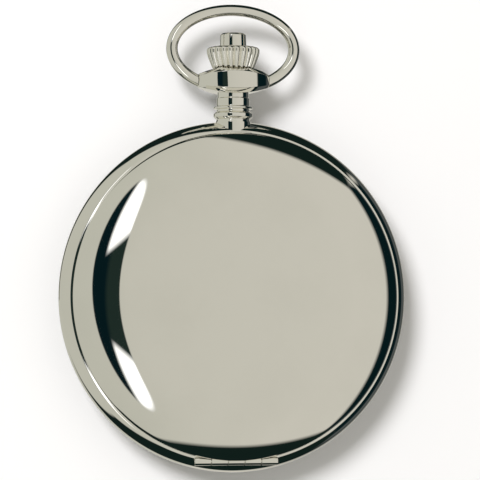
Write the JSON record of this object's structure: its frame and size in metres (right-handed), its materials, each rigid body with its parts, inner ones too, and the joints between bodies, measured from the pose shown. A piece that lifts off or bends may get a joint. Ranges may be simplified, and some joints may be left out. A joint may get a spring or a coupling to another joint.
{
  "type": "hunter pocket watch",
  "caption": "Full hunter pocket watch with hinged front and back covers, winding crown with push-button, oval bow and a complete mechanical movement.",
  "frame": {"origin": "on the case axis, on the flat land in the middle of the back cover", "axes": "+Z out of the dial, +Y to 12 o'clock and the pendant, +X to 3 o'clock"},
  "size_m": [0.05, 0.0668, 0.0134],
  "materials": {
    "silver": "mirror polished",
    "silver_inner": "satin inside, polished edge",
    "steel": "polished steel",
    "blued_steel": "heat blued",
    "brass": "gilt",
    "nickel_plate": "striped nickel plating",
    "enamel": "white enamel",
    "glass": "clear",
    "ruby": "synthetic ruby",
    "rubber": "matt black"
  },
  "bodies": {
    "case": {"case_middle": "silver", "front_hinge_pin": "silver", "back_hinge_pin": "silver", "bezel": "silver", "crystal": "glass", "pendant_neck": "silver", "bow_collar": "silver", "bow_pivots": "silver", "lift_spring": "steel", "spring_screws": "steel", "dial": "enamel", "setting_spring": "steel", "mainplate": "nickel_plate", "barrel_bridge": "nickel_plate", "train_bridge": "nickel_plate", "pallet_cock": "nickel_plate", "balance_cock": "nickel_plate", "bridge_screws": "blued_steel", "jewels": "ruby", "crown_wheel_screw": "steel", "click_spring": "steel", "crown_gasket": "rubber"},
    "lid": {"front_cover": "silver"},
    "back": {"back_cover": "silver"},
    "bow": {"bow": "silver"},
    "catch": {"catch_spring": "steel"},
    "winding": {"winding_pinion": "steel"},
    "clutch": {"sliding_pinion": "steel"},
    "crown": {"crown": "silver", "winding_stem": "steel"},
    "button": {"push_button": "silver", "push_rod": "steel", "release_collar": "steel"},
    "crown_wheel": {"crown_wheel": "steel"},
    "ratchet": {"ratchet_wheel": "steel", "ratchet_screw": "steel", "barrel_arbor": "steel"},
    "click": {"click": "steel"},
    "barrel": {"barrel_drum": "brass", "barrel_cover": "brass", "mainspring": "steel"},
    "centre": {"centre_wheel": "brass", "cannon_pinion": "steel", "minute_hand": "blued_steel"},
    "minute": {"minute_wheel": "brass"},
    "setting": {"setting_wheel": "brass"},
    "hour": {"hour_wheel": "brass", "hour_hand": "blued_steel"},
    "third": {"third_wheel": "brass"},
    "fourth": {"fourth_wheel": "brass", "seconds_hand": "blued_steel"},
    "escape": {"escape_wheel": "steel"},
    "lever": {"pallet_fork": "steel", "pallet_stones": "ruby"},
    "balance": {"balance_wheel": "brass", "balance_staff": "steel", "hairspring": "blued_steel"},
    "regulator": {"regulator": "steel"},
    "setting_lever": {"setting_lever": "steel"},
    "yoke": {"yoke": "steel"}
  },
  "joints": [
    {"name": "lid_hinge", "type": "hinge", "parent": "case", "child": "lid", "pos_m": [0, -0.0233, 0.009], "axis": [1, 0, 0], "range_deg": [0, 100]},
    {"name": "back_hinge", "type": "hinge", "parent": "case", "child": "back", "pos_m": [0, -0.0233, 0.004], "axis": [-1, 0, 0], "range_deg": [0, 100]},
    {"name": "bow_swing", "type": "hinge", "parent": "case", "child": "bow", "pos_m": [0, 0.03085, 0.0065], "axis": [1, 0, 0], "range_deg": [-120, 120]},
    {"name": "crown_turn", "type": "hinge", "parent": "case", "child": "winding", "pos_m": [0, 0, 0.0065], "axis": [0, 1, 0], "continuous": true},
    {"name": "crown_pull", "type": "slide", "parent": "winding", "child": "crown", "axis": [0, 1, 0], "range_m": [0, 0.001]},
    {"name": "clutch_slide", "type": "slide", "parent": "winding", "child": "clutch", "axis": [0, -1, 0], "range_m": [0, 0.00035]},
    {"name": "button_press", "type": "slide", "parent": "crown", "child": "button", "axis": [0, -1, 0], "range_m": [0, 0.0008], "stiffness_N_per_m": 600},
    {"name": "catch_flex", "type": "hinge", "parent": "case", "child": "catch", "pos_m": [0.01749, 0.01225, 0], "axis": [0, 0, 1], "range_deg": [0, 3]},
    {"name": "crown_wheel_turn", "type": "hinge", "parent": "case", "child": "crown_wheel", "pos_m": [0, 0.00905, 0], "axis": [0, 0, 1], "continuous": true},
    {"name": "ratchet_turn", "type": "hinge", "parent": "case", "child": "ratchet", "pos_m": [0.00779, 0.0045, 0], "axis": [0, 0, 1], "continuous": true},
    {"name": "click_lift", "type": "hinge", "parent": "case", "child": "click", "pos_m": [0.01024, 0.01202, 0], "axis": [0, 0, 1], "range_deg": [0, 6]},
    {"name": "seconds_turn", "type": "hinge", "parent": "case", "child": "fourth", "pos_m": [0, -0.009, 0], "axis": [0, 0, 1], "continuous": true},
    {"name": "third_turn", "type": "hinge", "parent": "case", "child": "third", "pos_m": [-0.00517, -0.00564, 0], "axis": [0, 0, 1], "continuous": true},
    {"name": "centre_turn", "type": "hinge", "parent": "case", "child": "centre", "pos_m": [0, 0, 0], "axis": [0, 0, 1], "continuous": true},
    {"name": "barrel_turn", "type": "hinge", "parent": "case", "child": "barrel", "pos_m": [0.00779, 0.0045, 0], "axis": [0, 0, 1], "continuous": true},
    {"name": "escape_turn", "type": "hinge", "parent": "case", "child": "escape", "pos_m": [0.00433, -0.01203, 0], "axis": [0, 0, 1], "continuous": true},
    {"name": "minute_wheel_turn", "type": "hinge", "parent": "case", "child": "minute", "pos_m": [0.00096, 0.00359, 0], "axis": [0, 0, 1], "continuous": true},
    {"name": "hour_turn", "type": "hinge", "parent": "case", "child": "hour", "pos_m": [0, 0, 0], "axis": [0, 0, 1], "continuous": true},
    {"name": "setting_wheel_turn", "type": "hinge", "parent": "case", "child": "setting", "pos_m": [0, 0.00783, 0], "axis": [0, 0, 1], "continuous": true},
    {"name": "lever_swing", "type": "hinge", "parent": "case", "child": "lever", "pos_m": [0.00643, -0.01026, 0], "axis": [0, 0, 1], "range_deg": [-4, 4]},
    {"name": "balance_swing", "type": "hinge", "parent": "case", "child": "balance", "pos_m": [0.00934, -0.00782, 0], "axis": [0, 0, 1], "range_deg": [-270, 270], "deforming": ["hairspring"]},
    {"name": "regulator_turn", "type": "hinge", "parent": "case", "child": "regulator", "pos_m": [0.00934, -0.00782, 0], "axis": [0, 0, 1], "range_deg": [-20, 20]},
    {"name": "setting_lever_turn", "type": "hinge", "parent": "case", "child": "setting_lever", "pos_m": [0.0046, 0.01415, 0], "axis": [0, 0, -1], "range_deg": [0, 15.38]},
    {"name": "yoke_turn", "type": "hinge", "parent": "case", "child": "yoke", "pos_m": [-0.0046, 0.01265, 0], "axis": [0, 0, -1], "range_deg": [0, 6.07]}
  ],
  "couplings": [
    {"joint": "third_turn", "follows": "seconds_turn", "ratio": -0.13333},
    {"joint": "centre_turn", "follows": "seconds_turn", "ratio": 0.016667},
    {"joint": "barrel_turn", "follows": "seconds_turn", "ratio": -0.0025641},
    {"joint": "escape_turn", "follows": "seconds_turn", "ratio": -10},
    {"joint": "minute_wheel_turn", "follows": "seconds_turn", "ratio": -0.0055556},
    {"joint": "hour_turn", "follows": "seconds_turn", "ratio": 0.0013889},
    {"joint": "setting_wheel_turn", "follows": "seconds_turn", "ratio": 0.01},
    {"joint": "crown_wheel_turn", "follows": "crown_turn", "ratio": 0.7},
    {"joint": "ratchet_turn", "follows": "crown_turn", "ratio": -0.32558},
    {"joint": "clutch_slide", "follows": "crown_pull", "ratio": 0.35},
    {"joint": "setting_lever_turn", "follows": "crown_pull", "rad_per_m": 259.74},
    {"joint": "yoke_turn", "follows": "crown_pull", "rad_per_m": 97.222},
    {"joint": "catch_flex", "follows": "button_press", "rad_per_m": 51.823}
  ]
}
